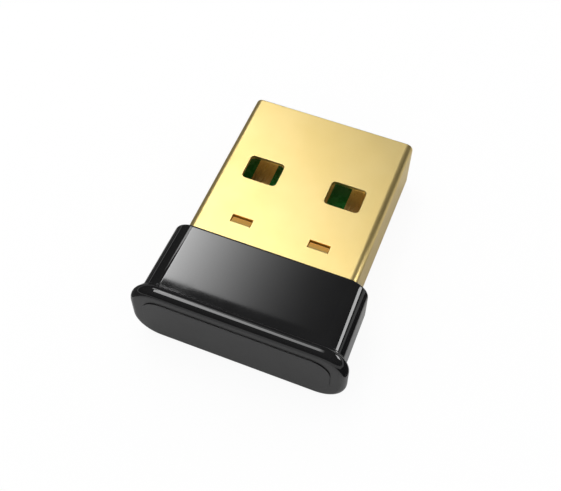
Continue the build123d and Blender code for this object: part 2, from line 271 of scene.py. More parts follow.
# %% Cap moulding
front_half, rear_half, body_corner = (6.905, 2.49), (6.98, 2.597), 1.45
lip_half, lip_corner, cap_end_y = (7.525, 2.765), 2.0, -6.1
bead, lip_back, lip_land, lip_foot, front_rounding = 0.48, 0.54, 0.02, 0.02, 0.2
crest_y = cap_end_y + bead + lip_land
lip_height = [lip - rear for lip, rear in zip(lip_half, rear_half)]


def body_half(y):
    """Half the width and half the height of the plain body at this place."""
    share = y / crest_y
    return [front + (rear - front) * share for front, rear in zip(front_half, rear_half)]


def lip_reach(height):
    """How far in front of its crest a lip of this height starts to rise."""
    return math.sqrt((lip_back + lip_foot) ** 2 - (lip_back + lip_foot - height) ** 2)


def lip_rise(height, ahead):
    """How far a lip of this height stands out, this far in front of its crest."""
    reach = lip_reach(height)
    if ahead >= reach:
        return 0.0
    if ahead > reach * lip_back / (lip_back + lip_foot):
        return lip_foot - math.sqrt(lip_foot ** 2 - (reach - ahead) ** 2)
    return math.sqrt(lip_back ** 2 - ahead ** 2) - lip_back + height


def lip_station(ahead):
    """The cap's outline this far in front of the lip's crest."""
    body = body_half(crest_y + ahead)
    rise = [lip_rise(height, ahead) for height in lip_height]
    corner = body_corner + (lip_corner - body_corner) * rise[0] / lip_height[0]
    return (crest_y + ahead, body[0] + rise[0], body[1] + rise[1], corner)


def end_station(y, inset):
    """The lip's outline, this far inside its crest."""
    return (y, lip_half[0] - inset, lip_half[1] - inset, lip_corner - inset)


# Two outlines in one plane are kept this far apart, so that the bridge between them can't twist.
ring_gap, foot_steps = 0.002, 6
cavity, cavity_end_y = (5.7, 1.85, 0.4), -5.13
pocket, pocket_end_y = (6.03, 2.28, 0.53), -3.25
pocket_mouth, mouth_chamfer = (6.04, 2.285, 0.54), 0.02
ledge_size, ledge_x, ledge_y, ledge_z = (0.7, 1.4, 1.21), 5.35, -4.43, -1.245
stations = [(cavity_end_y,) + cavity, (pocket_end_y - ring_gap,) + cavity, (pocket_end_y,) + pocket,
            (-mouth_chamfer,) + pocket, (0.0,) + pocket_mouth]
for turn in range(0, 91, 15):
    inset = front_rounding * (1 - math.sin(math.radians(turn)))
    y = -front_rounding * (1 - math.cos(math.radians(turn)))
    half_width, half_height = body_half(y)
    stations.append((y, half_width - inset, half_height - inset, body_corner - inset))
lip_places = [lip_back * math.sin(math.radians(turn)) for turn in range(0, 85, 6)]
for height in lip_height:
    reach = lip_reach(height)
    farthest = math.asin(reach / (lip_back + lip_foot))
    lip_places += [reach - lip_foot * math.sin(farthest * step / foot_steps)
                   for step in range(foot_steps + 1)]
stations += [lip_station(ahead) for ahead in sorted(lip_places, reverse=True)]
for turn in range(0, 91, 9):
    angle = math.radians(turn)
    y = crest_y - lip_land - bead * math.sin(angle)
    stations.append(end_station(y, bead * (1 - math.cos(angle))))
panel = (6.5, 1.82, 1.3)
panel_proud, panel_edge = 0.07, 0.02
stations += [(cap_end_y - ring_gap,) + panel, (cap_end_y - panel_proud + panel_edge,) + panel]
for turn in (30, 60, 90):
    inset = panel_edge * (1 - math.cos(math.radians(turn)))
    stations.append((cap_end_y - panel_proud + panel_edge * (1 - math.sin(math.radians(turn))),)
                    + tuple(size - inset for size in panel))
bm = bmesh.new()
loops = skin(bm, stations)
bmesh.ops.edgeloop_fill(bm, edges=loops[0])
bmesh.ops.edgeloop_fill(bm, edges=loops[-1])
for side in (-1, 1):
    ledge = bmesh.ops.create_cube(bm, size=1.0)["verts"]
    bmesh.ops.scale(bm, vec=ledge_size, verts=ledge)
    bmesh.ops.translate(bm, vec=(side * ledge_x, ledge_y, ledge_z), verts=ledge)
bmesh.ops.recalc_face_normals(bm, faces=bm.faces)
cap_mesh = bpy.data.meshes.new("cap_moulding")
bm.to_mesh(cap_mesh)
bm.free()
cap_moulding = finish_piece("cap_moulding", cap_mesh, "rear_cap", sharp_angle=40.0)
print("lip stands out by", [round(height, 3) for height in lip_height], "mm")

# %% [markdown]
# ## Shader tools
# Every finish is a small tree of nodes. These helpers start a material and place nodes with
# their settings, so that the cells below can be read as a list of what each finish is made
# of. All patterns read Object coordinates, in metres, so a scale of 20000 makes grain of
# about a twentieth of a millimetre.

# %% Start a material and place nodes
def start_material(name):
    """A new material with its node tree and its shader."""
    material = bpy.data.materials.new(name)
    material.use_nodes = True
    tree = material.node_tree
    return material, tree, tree.nodes["Principled BSDF"]


def place(tree, kind, inputs=None, **settings):
    """Add a node with these settings, and link or set its inputs."""
    node = tree.nodes.new(kind)
    for key, value in settings.items():
        setattr(node, key, value)
    for socket, value in (inputs or {}).items():
        if isinstance(value, bpy.types.NodeSocket):
            tree.links.new(value, node.inputs[socket])
        else:
            node.inputs[socket].default_value = value
    return node


def ramp(tree, factor, stops):
    """A colour ramp with stops given as (position, colour or grey)."""
    node = place(tree, "ShaderNodeValToRGB", {"Fac": factor})
    points = node.color_ramp.elements
    while len(points) < len(stops):
        points.new(0.5)
    for point, (position, tone) in zip(points, stops):
        point.position = position
        point.color = (tone, tone, tone, 1) if isinstance(tone, (int, float)) else tuple(tone) + (1,)
    return node.outputs["Color"]


def span(tree, value, low, high, start=0.0, stop=1.0):
    """Map low..high to start..stop, and hold it at both ends."""
    return place(tree, "ShaderNodeMapRange", {"Value": value, "From Min": low, "From Max": high,
                                              "To Min": start, "To Max": stop}).outputs["Result"]


def maths(tree, operation, *values):
    """One step of arithmetic."""
    return place(tree, "ShaderNodeMath", dict(enumerate(values)), operation=operation).outputs[0]


def mix(tree, factor, first, second):
    """Blend two colours by a mask."""
    return place(tree, "ShaderNodeMix", {0: factor, 6: first, 7: second}, data_type="RGBA").outputs[2]


def finish_shader(tree, shader, colour, gloss, height, strength, depth):
    """Link a colour, a roughness and a bump of this depth to the shader."""
    bump = place(tree, "ShaderNodeBump", {"Strength": strength, "Distance": depth, "Height": height})
    for value, socket in ((colour, "Base Color"), (gloss, "Roughness"), (bump.outputs["Normal"], "Normal")):
        tree.links.new(value, shader.inputs[socket])


# %% [markdown]
# ## Handling marks
# A plug is pushed and pulled with fingers, so every outer surface has faint smudges and
# hairline scratches that only show in the gloss. One node group makes them for all the
# finishes: it gives a mask for the smudges, a mask for the scratches and a small height.

# %% Node group for handling marks
def add_sockets(group, inputs, outputs):
    """Name the sockets of a node group, each with its kind and its usual value."""
    for name, kind, value in inputs:
        socket = group.interface.new_socket(name, in_out="INPUT", socket_type=kind)
        if value is not None:
            socket.default_value = value
    for name, kind in outputs:
        group.interface.new_socket(name, in_out="OUTPUT", socket_type=kind)


handling_marks = bpy.data.node_groups.new("handling_marks", "ShaderNodeTree")
add_sockets(handling_marks,
            [("Position", "NodeSocketVector", None), ("Smudge Size", "NodeSocketFloat", 500.0),
             ("Scratch Size", "NodeSocketFloat", 900.0)],
            [("Smudges", "NodeSocketFloat"), ("Scratches", "NodeSocketFloat"), ("Height", "NodeSocketFloat")])
entry = handling_marks.nodes.new("NodeGroupInput").outputs
smudge_noise = place(handling_marks, "ShaderNodeTexNoise",
                     {"Vector": entry["Position"], "Scale": entry["Smudge Size"], "Detail": 6.0,
                      "Roughness": 0.62, "Distortion": 0.6})
smudges = ramp(handling_marks, smudge_noise.outputs["Fac"], [(0.42, 0.0), (0.72, 1.0)])
stretched = place(handling_marks, "ShaderNodeMapping",
                  {"Vector": entry["Position"], "Rotation": (0.3, 0.2, 0.5), "Scale": (1.0, 0.04, 1.0)})
scratch_noise = place(handling_marks, "ShaderNodeTexNoise",
                      {"Vector": stretched.outputs["Vector"], "Scale": entry["Scratch Size"], "Detail": 3.0,
                       "Roughness": 0.7})
scratches = ramp(handling_marks, scratch_noise.outputs["Fac"], [(0.63, 0.0), (0.70, 1.0)])
height = place(handling_marks, "ShaderNodeMath", {0: scratches, 1: -1.0}, operation="MULTIPLY")
leave = handling_marks.nodes.new("NodeGroupOutput").inputs
handling_marks.links.new(smudges, leave["Smudges"])
handling_marks.links.new(scratches, leave["Scratches"])
handling_marks.links.new(height.outputs[0], leave["Height"])
print("group handling_marks:", len(handling_marks.nodes), "nodes")


def group_on(tree, group, inputs):
    """Place a node group in a material with its own values."""
    return place(tree, "ShaderNodeGroup", inputs, node_tree=group).outputs


# %% [markdown]
# ## Gold plate
# The shell is rolled sheet with a thin, slightly satin gold plate. Rolling leaves very fine
# lines along the strip, and the plate is a little uneven in tone and gloss. The colour is
# a mix of two close golds over a soft noise, and the lines only touch roughness and bump,
# so the metal keeps its broad, clean reflection.

# %% Gold plate material
gold_plate, tree, shader = start_material("gold_plate")
position = place(tree, "ShaderNodeTexCoord").outputs["Object"]
marks = group_on(tree, handling_marks,
                 {"Position": position, "Smudge Size": 420.0, "Scratch Size": 1500.0})
cloud = place(tree, "ShaderNodeTexNoise",
              {"Vector": position, "Scale": 260.0, "Detail": 3.0, "Roughness": 0.5})
gold_tone = ramp(tree, cloud.outputs["Fac"], [(0.3, (0.93, 0.71, 0.28)), (0.7, (0.96, 0.75, 0.32))])
rolled = place(tree, "ShaderNodeMapping", {"Vector": position, "Scale": (24000.0, 900.0, 24000.0)})
lines = place(tree, "ShaderNodeTexNoise", {"Vector": rolled.outputs["Vector"], "Scale": 1.0, "Detail": 2.0})
line_gloss = span(tree, lines.outputs["Fac"], 0.3, 0.7, 0.33, 0.38)
gloss = maths(tree, "MULTIPLY_ADD", marks["Smudges"], 0.05, line_gloss)
relief = maths(tree, "MULTIPLY_ADD", marks["Height"], 0.35, lines.outputs["Fac"])
print("gold:", len(tree.nodes), "nodes so far")

# %% [markdown]
# ## Tone of the bent tabs
# At the slots the sheet is sheared and bent, so its plate is duller. The tabs also lie between
# walls of gold, which warm the light between them. A few bounces of light don't give the depth
# of that tone here, so a mask stands in for it. It finds the sheet that lies below the plug's
# faces at the slots, and both tone and gloss follow it.

# %% Bent tabs' tone and gloss
mask_margin, mask_fade, mask_top, mask_full = 0.03, 0.02, 0.01, 0.04
slot_end = slot_y + slot_size[1] / 2 + mask_margin
slot_side = (slot_spacing + slot_size[0]) / 2 + mask_margin
local = place(tree, "ShaderNodeSeparateXYZ", {"Vector": position}).outputs
from_axis = maths(tree, "ABSOLUTE", local["Z"])
from_centre = maths(tree, "ABSOLUTE", local["X"])
sunk = span(tree, from_axis, (shell_half_height - mask_top) * MM, (shell_half_height - mask_full) * MM)
behind_slots = span(tree, local["Y"], (slot_end + mask_fade) * MM, slot_end * MM)
between_sides = span(tree, from_centre, (slot_side + mask_fade) * MM, slot_side * MM)
bent = maths(tree, "MULTIPLY", maths(tree, "MULTIPLY", sunk, behind_slots), between_sides)
tone = mix(tree, bent, gold_tone, (1.0, 0.64, 0.18, 1.0))
gloss = maths(tree, "MULTIPLY_ADD", bent, 0.27, gloss)
finish_shader(tree, shader, tone, gloss, relief, 0.12, 0.000004)
shader.inputs["Metallic"].default_value = 1.0
plug_tube.data.materials.append(gold_plate)
print("gold plate:", len(tree.nodes), "nodes")

# %% [markdown]
# ## Glossy black cap
# The cap is polished black plastic. Its colour is nearly all in its reflections, so the base
# is almost black and the detail is in the gloss: a faint flow pattern from the mould, smudges
# and hairlines. The flat end is much duller than the sides, because that half of the mould is
# less polished, and a mask from the piece's own depth makes that change.

# %% Cap material
cap_black, tree, shader = start_material("cap_black")
position = place(tree, "ShaderNodeTexCoord").outputs["Object"]
marks = group_on(tree, handling_marks,
                 {"Position": position, "Smudge Size": 380.0, "Scratch Size": 1100.0})
flow = place(tree, "ShaderNodeTexNoise",
             {"Vector": position, "Scale": 180.0, "Detail": 2.0, "Distortion": 1.2})
black_tone = ramp(tree, flow.outputs["Fac"],
                  [(0.3, (0.0045, 0.0045, 0.0048)), (0.7, (0.0065, 0.0065, 0.0068))])
along = place(tree, "ShaderNodeSeparateXYZ", {"Vector": position})
end_gloss = span(tree, along.outputs["Y"], (cap_end_y + 0.05) * MM, (cap_end_y + 0.01) * MM, 0.03, 0.34)
gloss = maths(tree, "MULTIPLY_ADD", marks["Smudges"], 0.02, end_gloss)
peel = place(tree, "ShaderNodeTexNoise", {"Vector": position, "Scale": 16000.0, "Detail": 2.0})
relief = maths(tree, "MULTIPLY_ADD", marks["Height"], 0.4, peel.outputs["Fac"])
finish_shader(tree, shader, black_tone, gloss, relief, 0.01, 0.000003)
shader.inputs["Specular IOR Level"].default_value = 0.72
cap_moulding.data.materials.append(cap_black)
print("cap black:", len(tree.nodes), "nodes")

# %% [markdown]
# ## Grain
# Moulded plastic, ceramic and tin look plain from afar and grainy close up. One node group
# serves them all. It mixes a fine grain with a slow cloud into a tone between 0 and 1, and
# adds a mask of small specks and a height, so each finish only chooses its own values.

# %% Node group for grain
grain = bpy.data.node_groups.new("grain", "ShaderNodeTree")
add_sockets(grain,
            [("Position", "NodeSocketVector", None), ("Grain Scale", "NodeSocketFloat", 12000.0),
             ("Cloud Scale", "NodeSocketFloat", 700.0)],
            [("Tone", "NodeSocketFloat"), ("Specks", "NodeSocketFloat"), ("Height", "NodeSocketFloat")])
entry = grain.nodes.new("NodeGroupInput").outputs
fine = place(grain, "ShaderNodeTexNoise",
             {"Vector": entry["Position"], "Scale": entry["Grain Scale"], "Detail": 3.0}).outputs["Fac"]
slow = place(grain, "ShaderNodeTexNoise",
             {"Vector": entry["Position"], "Scale": entry["Cloud Scale"], "Detail": 2.0}).outputs["Fac"]
cells = place(grain, "ShaderNodeTexVoronoi", {"Vector": entry["Position"], "Scale": entry["Grain Scale"]})
specks = span(grain, cells.outputs["Distance"], 0.3, 0.15)
leave = grain.nodes.new("NodeGroupOutput").inputs
grain.links.new(span(grain, maths(grain, "ADD", fine, slow), 0.75, 1.25), leave["Tone"])
grain.links.new(specks, leave["Specks"])
grain.links.new(maths(grain, "MULTIPLY_ADD", specks, 0.4, fine), leave["Height"])
print("group grain:", len(grain.nodes), "nodes")


def dress(node, material):
    """Give a node of the solid model this finish, in place of its plain one."""
    for material_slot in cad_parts[node].material_slots:
        material_slot.material = material


# %% [markdown]
# ## Carrier
# The block that holds the board is moulded in black plastic with glass fibre in it, which
# leaves the surface satin and slightly mottled, with short pale fibres in the skin. It
# shows in the mouth and through the slots, beside polished gold, so it needs its own grain.

# %% Carrier finish
carrier_black, tree, shader = start_material("carrier_black")
position = place(tree, "ShaderNodeTexCoord").outputs["Object"]
pattern = group_on(tree, grain, {"Position": position, "Grain Scale": 14000.0, "Cloud Scale": 500.0})
fibre_flow = place(tree, "ShaderNodeMapping", {"Vector": position, "Scale": (1.0, 0.12, 1.0)})
fibres = place(tree, "ShaderNodeTexVoronoi", {"Vector": fibre_flow.outputs["Vector"], "Scale": 9000.0})
fibre_mask = span(tree, fibres.outputs["Distance"], 0.16, 0.08, 0.0, 0.5)
plastic = ramp(tree, pattern["Tone"], [(0.0, (0.010, 0.010, 0.011)), (1.0, (0.020, 0.020, 0.021))])
plastic = mix(tree, fibre_mask, plastic, (0.07, 0.07, 0.068, 1))
gloss = span(tree, pattern["Tone"], 0.0, 1.0, 0.42, 0.54)
finish_shader(tree, shader, plastic, gloss, pattern["Height"], 0.35, 0.000006)
dress("tongue_carrier", carrier_black)
print("carrier:", len(tree.nodes), "nodes")

# %% [markdown]
# ## Contacts
# The four contacts are copper tracks with nickel and gold on them. Each time the plug goes
# in, the port's springs wipe along them and leave fine lines down the middle of each
# contact. The lines are a noise that is stretched along the plug, in gloss and bump.

# %% Contact finish
contact_gold, tree, shader = start_material("contact_gold")
position = place(tree, "ShaderNodeTexCoord").outputs["Object"]
pattern = group_on(tree, grain, {"Position": position, "Grain Scale": 9000.0, "Cloud Scale": 800.0})
wiped = place(tree, "ShaderNodeMapping", {"Vector": position, "Scale": (20000.0, 400.0, 1000.0)})
wipes = place(tree, "ShaderNodeTexNoise", {"Vector": wiped.outputs["Vector"], "Scale": 1.0, "Detail": 3.0})
plating = ramp(tree, pattern["Tone"], [(0.0, (0.80, 0.53, 0.22)), (1.0, (0.90, 0.63, 0.29))])
gloss = span(tree, wipes.outputs["Fac"], 0.35, 0.65, 0.26, 0.36)
relief = maths(tree, "MULTIPLY_ADD", wipes.outputs["Fac"], 0.5, pattern["Height"])
finish_shader(tree, shader, plating, gloss, relief, 0.06, 0.000003)
shader.inputs["Metallic"].default_value = 1.0
for contact in ("contact_vbus", "contact_data_minus", "contact_data_plus", "contact_ground"):
    dress(contact, contact_gold)
print("contacts:", len(tree.nodes), "nodes")

# %% [markdown]
# ## Solder mask
# The board's green is a thin glossy lacquer. Over copper it looks lighter, and the copper
# lifts it a little, so a track under the lacquer shows as a paler green line with soft
# edges. The board and the antenna share this as a node group with the copper as its input.

# %% Node group for solder mask
solder_mask = bpy.data.node_groups.new("solder_mask", "ShaderNodeTree")
add_sockets(solder_mask,
            [("Position", "NodeSocketVector", None), ("Copper", "NodeSocketFloat", 0.0)],
            [("Colour", "NodeSocketColor"), ("Gloss", "NodeSocketFloat"), ("Height", "NodeSocketFloat")])
entry = solder_mask.nodes.new("NodeGroupInput").outputs
lacquer = place(solder_mask, "ShaderNodeTexNoise",
                {"Vector": entry["Position"], "Scale": 1800.0, "Detail": 4.0}).outputs["Fac"]
on_laminate = ramp(solder_mask, lacquer, [(0.3, (0.004, 0.115, 0.014)), (0.7, (0.008, 0.160, 0.021))])
on_copper = ramp(solder_mask, lacquer, [(0.3, (0.012, 0.190, 0.034)), (0.7, (0.020, 0.240, 0.046))])
leave = solder_mask.nodes.new("NodeGroupOutput").inputs
solder_mask.links.new(mix(solder_mask, entry["Copper"], on_laminate, on_copper), leave["Colour"])
solder_mask.links.new(span(solder_mask, lacquer, 0.3, 0.7, 0.22, 0.34), leave["Gloss"])
solder_mask.links.new(maths(solder_mask, "MULTIPLY_ADD", lacquer, 0.3, entry["Copper"]), leave["Height"])
print("group solder_mask:", len(solder_mask.nodes), "nodes")

# %% [markdown]
# ## Circuit board
# Tracks run side by side between the parts, with small plated holes where they change
# sides. Stripes that a snapped noise switches on and off make believable runs of tracks.
# Among the contacts the board is plain. Its sawn edge has no lacquer and shows the yellow
# laminate with its layers of glass cloth, so height alone tells edge from face.

# %% Circuit board finish
board_green, tree, shader = start_material("board_green")
position = place(tree, "ShaderNodeTexCoord").outputs["Object"]
axes = place(tree, "ShaderNodeSeparateXYZ", {"Vector": position}).outputs
track_pitch = 0.3 * MM
runs = place(tree, "ShaderNodeVectorMath", {0: position, 1: (track_pitch, 0.0017, 1.0)}, operation="SNAP")
switch = place(tree, "ShaderNodeTexWhiteNoise", {"Vector": runs.outputs["Vector"]}, noise_dimensions="3D")
stripe = maths(tree, "PINGPONG", maths(tree, "MULTIPLY", axes["X"], 1 / track_pitch), 0.5)
tracks = maths(tree, "MULTIPLY", span(tree, stripe, 0.24, 0.30),
               span(tree, switch.outputs["Value"], 0.5, 0.51))
holes = place(tree, "ShaderNodeTexVoronoi", {"Vector": position, "Scale": 620.0, "Randomness": 0.7},
              voronoi_dimensions="2D").outputs["Distance"]
rings = span(tree, holes, 0.14, 0.12)
beyond_contacts = maths(tree, "MAXIMUM", span(tree, axes["Y"], 0.0029, 0.0027),
                        span(tree, axes["Z"], -0.0003, -0.0004))
copper = maths(tree, "MULTIPLY", maths(tree, "MAXIMUM", tracks, rings), beyond_contacts)
mask = group_on(tree, solder_mask, {"Position": position, "Copper": copper})
layers = place(tree, "ShaderNodeTexWave", {"Vector": position, "Scale": 2400.0, "Distortion": 1.5,
                                           "Detail": 2.0}, bands_direction="Z")
laminate = ramp(tree, layers.outputs["Fac"], [(0.2, (0.20, 0.17, 0.07)), (0.8, (0.36, 0.33, 0.17))])
from_middle = maths(tree, "ABSOLUTE", maths(tree, "ADD", axes["Z"], 0.00034))
edge = span(tree, from_middle, 0.000285, 0.000275)
board_colour = mix(tree, edge, mask["Colour"], laminate)
drilled = maths(tree, "MULTIPLY", span(tree, holes, 0.06, 0.05), beyond_contacts)
board_colour = mix(tree, drilled, board_colour, (0.004, 0.006, 0.004, 1))
gloss = maths(tree, "MULTIPLY_ADD", edge, 0.45, mask["Gloss"])
finish_shader(tree, shader, board_colour, gloss, mask["Height"], 0.4, 0.00001)
dress("circuit_board", board_green)
print("board:", len(tree.nodes), "nodes")

# %% [markdown]
# ## Antenna
# The antenna is one long copper track that folds to and fro under the same lacquer. It is
# a raised shape of its own in the solid model, so here it only needs the paler green that
# the lacquer has over copper, all over.

# %% Antenna finish
antenna_green, tree, shader = start_material("antenna_green")
position = place(tree, "ShaderNodeTexCoord").outputs["Object"]
mask = group_on(tree, solder_mask, {"Position": position, "Copper": 1.0})
pattern = group_on(tree, grain, {"Position": position, "Grain Scale": 11000.0, "Cloud Scale": 900.0})
relief = maths(tree, "MULTIPLY_ADD", pattern["Height"], 0.2, mask["Height"])
finish_shader(tree, shader, mask["Colour"], mask["Gloss"], relief, 0.3, 0.000008)
dress("antenna_trace", antenna_green)
print("antenna:", len(tree.nodes), "nodes")

# %% [markdown]
# ## Chips
# A chip's body is black epoxy full of fine glass powder, with a dull, slightly sparkling
# surface. Its leads are tinned and lie against the board, so everything nearer to the board
# than the body's own face is tin. A Mapping node puts each chip's own middle at zero.

# %% Chip finishes
tin_pale, tin_grey = (0.66, 0.65, 0.62, 1), (0.48, 0.48, 0.46, 1)


def centred_on(tree, node, turn=0.0):
    """Object coordinates with their zero in the middle of a node of the solid model."""
    low, high = (Vector(corner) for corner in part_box(node))
    position = place(tree, "ShaderNodeTexCoord").outputs["Object"]
    centred = place(tree, "ShaderNodeMapping",
                    {"Vector": position, "Location": (low + high) / 2, "Rotation": (0, 0, turn)},
                    vector_type="TEXTURE")
    return centred.outputs["Vector"], (high - low) / 2


def tinned(tree, shader, pattern, ends, body, gloss):
    """Blend a body's colour and gloss with tin by a mask, and finish the shader."""
    tin = mix(tree, pattern["Tone"], tin_grey, tin_pale)
    finish_shader(tree, shader, mix(tree, ends, body, tin),
                  maths(tree, "MULTIPLY_ADD", ends, -0.2, gloss), pattern["Height"], 0.3, 0.000005)
    tree.links.new(ends, shader.inputs["Metallic"])


for node in ("bluetooth_chip", "memory_chip"):
    chip_black, tree, shader = start_material("package_black_" + node)
    position, half = centred_on(tree, node)
    pattern = group_on(tree, grain, {"Position": position, "Grain Scale": 18000.0, "Cloud Scale": 600.0})
    towards_board = place(tree, "ShaderNodeSeparateXYZ", {"Vector": position}).outputs["Z"]
    leads = span(tree, towards_board, half.z - 0.000031, half.z - 0.000030)
    epoxy = ramp(tree, pattern["Tone"], [(0.0, (0.011, 0.011, 0.012)), (1.0, (0.022, 0.022, 0.023))])
    epoxy = mix(tree, maths(tree, "MULTIPLY", pattern["Specks"], 0.3), epoxy, (0.06, 0.06, 0.06, 1))
    tinned(tree, shader, pattern, leads, epoxy, span(tree, pattern["Tone"], 0.0, 1.0, 0.50, 0.62))
    dress(node, chip_black)
    print(node, "has", len(tree.nodes), "nodes")

# %% [markdown]
# ## Small parts with metal ends
# Capacitors, resistors and inductors are little bricks with a tinned cap on each end, and
# differ in what lies between: tan ceramic, white ceramic with a black glaze on its face, or
# grey ferrite. The regulator's leads stand out on both sides, so it fits the same pattern.
# A node group finds the ends from the distance to the brick's middle.

# %% Node group for metal ends
metal_ends = bpy.data.node_groups.new("metal_ends", "ShaderNodeTree")
add_sockets(metal_ends,
            [("Position", "NodeSocketVector", None), ("Body Half", "NodeSocketFloat", 0.0003),
             ("Face Height", "NodeSocketFloat", 0.0002)],
            [("Ends", "NodeSocketFloat"), ("Face", "NodeSocketFloat")])
entry = metal_ends.nodes.new("NodeGroupInput").outputs
axes = place(metal_ends, "ShaderNodeSeparateXYZ", {"Vector": entry["Position"]}).outputs
leave = metal_ends.nodes.new("NodeGroupOutput").inputs
for axis, limit, result in (("Y", "Body Half", "Ends"), ("Z", "Face Height", "Face")):
    beyond = maths(metal_ends, "SUBTRACT", maths(metal_ends, "ABSOLUTE", axes[axis]), entry[limit])
    metal_ends.links.new(span(metal_ends, beyond, -0.000002, -0.000001), leave[result])
print("group metal_ends:", len(metal_ends.nodes), "nodes")

# %% [markdown]
# Each kind now names its parts, the length of a metal end in millimetres, the tones of its
# body and of its face, and how rough it is. The small parts lie along the plug or across
# it, and a quarter turn in the Mapping node brings both to the same direction.

# %% Small part finishes
small_kinds = {
    "ceramic_tan": (("crystal_capacitor_in", "crystal_capacitor_out", "supply_capacitor", "core_capacitor",
                     "radio_capacitor", "input_capacitor", "antenna_capacitor"),
                    0.25, ((0.30, 0.20, 0.11), (0.42, 0.30, 0.18)), None, 0.45),
    "resistor_black": (("bias_resistor", "reset_resistor"),
                       0.25, ((0.62, 0.61, 0.57), (0.74, 0.73, 0.70)),
                       ((0.008, 0.008, 0.009), (0.018, 0.018, 0.020)), 0.35),
    "ferrite_grey": (("power_inductor", "usb_ferrite", "antenna_inductor"),
                     0.25, ((0.045, 0.045, 0.048), (0.095, 0.093, 0.090)), None, 0.5),
    "package_black": (("voltage_regulator",),
                      0.424, ((0.011, 0.011, 0.012), (0.022, 0.022, 0.023)), None, 0.55),
}
for kind, (nodes, end_length, body_tones, face_tones, rough) in small_kinds.items():
    for node in nodes:
        small_finish, tree, shader = start_material(kind + "_" + node)
        low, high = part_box(node)
        across = high[0] - low[0] > high[1] - low[1] and kind != "package_black"
        position, half = centred_on(tree, node, math.radians(90) if across else 0.0)
        pattern = group_on(tree, grain, {"Position": position, "Grain Scale": 15000.0, "Cloud Scale": 1500.0})
        half_length = half.x if across else half.y
        zones = group_on(tree, metal_ends, {"Position": position, "Body Half": half_length - end_length * MM,
                                            "Face Height": half.z - 0.00003})
        body = ramp(tree, pattern["Tone"], [(0.0, body_tones[0]), (1.0, body_tones[1])])
        if face_tones:
            glaze = ramp(tree, pattern["Tone"], [(0.0, face_tones[0]), (1.0, face_tones[1])])
            body = mix(tree, zones["Face"], body, glaze)
        gloss = span(tree, pattern["Tone"], 0.0, 1.0, rough - 0.05, rough + 0.05)
        tinned(tree, shader, pattern, zones["Ends"], body, gloss)
        dress(node, small_finish)
    print(kind, "on", len(nodes), "parts")

# %% [markdown]
# ## Crystal
# The crystal sits in a dark ceramic base under a thin nickel-plated steel lid, which is
# welded on round its rim. Height tells lid from base. The lid is brushed, and the weld's
# dull rim is where the distance to the lid's edge is small.

# %% Crystal finish
crystal_can, tree, shader = start_material("crystal_can")
position, half = centred_on(tree, "crystal")
pattern = group_on(tree, grain, {"Position": position, "Grain Scale": 16000.0, "Cloud Scale": 1200.0})
axes = place(tree, "ShaderNodeSeparateXYZ", {"Vector": position}).outputs
lid_level = half.z - 0.0003
lid = span(tree, axes["Z"], lid_level - 0.000001, lid_level - 0.000003)
to_side = [maths(tree, "SUBTRACT", half[index] - 0.00012, maths(tree, "ABSOLUTE", axes[name]))
           for index, name in ((0, "X"), (1, "Y"))]
weld = span(tree, maths(tree, "MINIMUM", *to_side), 0.00014, 0.00009)
brushed = place(tree, "ShaderNodeMapping", {"Vector": position, "Scale": (900.0, 22000.0, 900.0)})
lines = place(tree, "ShaderNodeTexNoise", {"Vector": brushed.outputs["Vector"], "Scale": 1.0, "Detail": 2.0})
steel = ramp(tree, lines.outputs["Fac"], [(0.3, (0.56, 0.55, 0.52)), (0.7, (0.68, 0.67, 0.63))])
ceramic = ramp(tree, pattern["Tone"], [(0.0, (0.030, 0.027, 0.024)), (1.0, (0.050, 0.046, 0.041))])
gloss = maths(tree, "MULTIPLY_ADD", weld, 0.15, span(tree, lines.outputs["Fac"], 0.3, 0.7, 0.24, 0.34))
relief = maths(tree, "ADD", lines.outputs["Fac"], pattern["Height"])
finish_shader(tree, shader, mix(tree, lid, ceramic, steel), gloss, relief, 0.25, 0.000004)
tree.links.new(lid, shader.inputs["Metallic"])
dress("crystal", crystal_can)
print("crystal:", len(tree.nodes), "nodes")

# %% [markdown]
# ## Solder
# Two beads of solder join the shell to the board. Solder freezes in small crystals, so a
# cooled joint is bright with a frosted bloom in patches. Voronoi cells give each crystal
# its own tone and level, and the grain softens them.

# %% Solder finish
solder_tin, tree, shader = start_material("solder_tin")
position = place(tree, "ShaderNodeTexCoord").outputs["Object"]
pattern = group_on(tree, grain, {"Position": position, "Grain Scale": 9000.0, "Cloud Scale": 1500.0})
crystals = place(tree, "ShaderNodeTexVoronoi", {"Vector": position, "Scale": 7000.0})
facets = place(tree, "ShaderNodeSeparateColor", {"Color": crystals.outputs["Color"]}).outputs["Red"]
metal = mix(tree, facets, tin_grey, tin_pale)
gloss = maths(tree, "MULTIPLY_ADD", pattern["Tone"], 0.18, span(tree, facets, 0.0, 1.0, 0.22, 0.30))
finish_shader(tree, shader, metal, gloss, maths(tree, "ADD", facets, pattern["Height"]), 0.3, 0.000008)
shader.inputs["Metallic"].default_value = 1.0
for joint in ("shell_solder_left", "shell_solder_right"):
    dress(joint, solder_tin)
bare = [name for name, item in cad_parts.items() if item.visible_get() and
        not any(slot.material and slot.material.use_nodes and len(slot.material.node_tree.nodes) > 4
                for slot in item.material_slots)]
print("nodes that still have a plain finish:", bare)

# %% [markdown]
# ## Camera
# The photograph was taken from close by, looking down on the plug's flat face from behind
# the cap. Place, aim and focal length come from matching the edges of the solid model to
# the photograph, so the two line up to about a pixel along most edges.

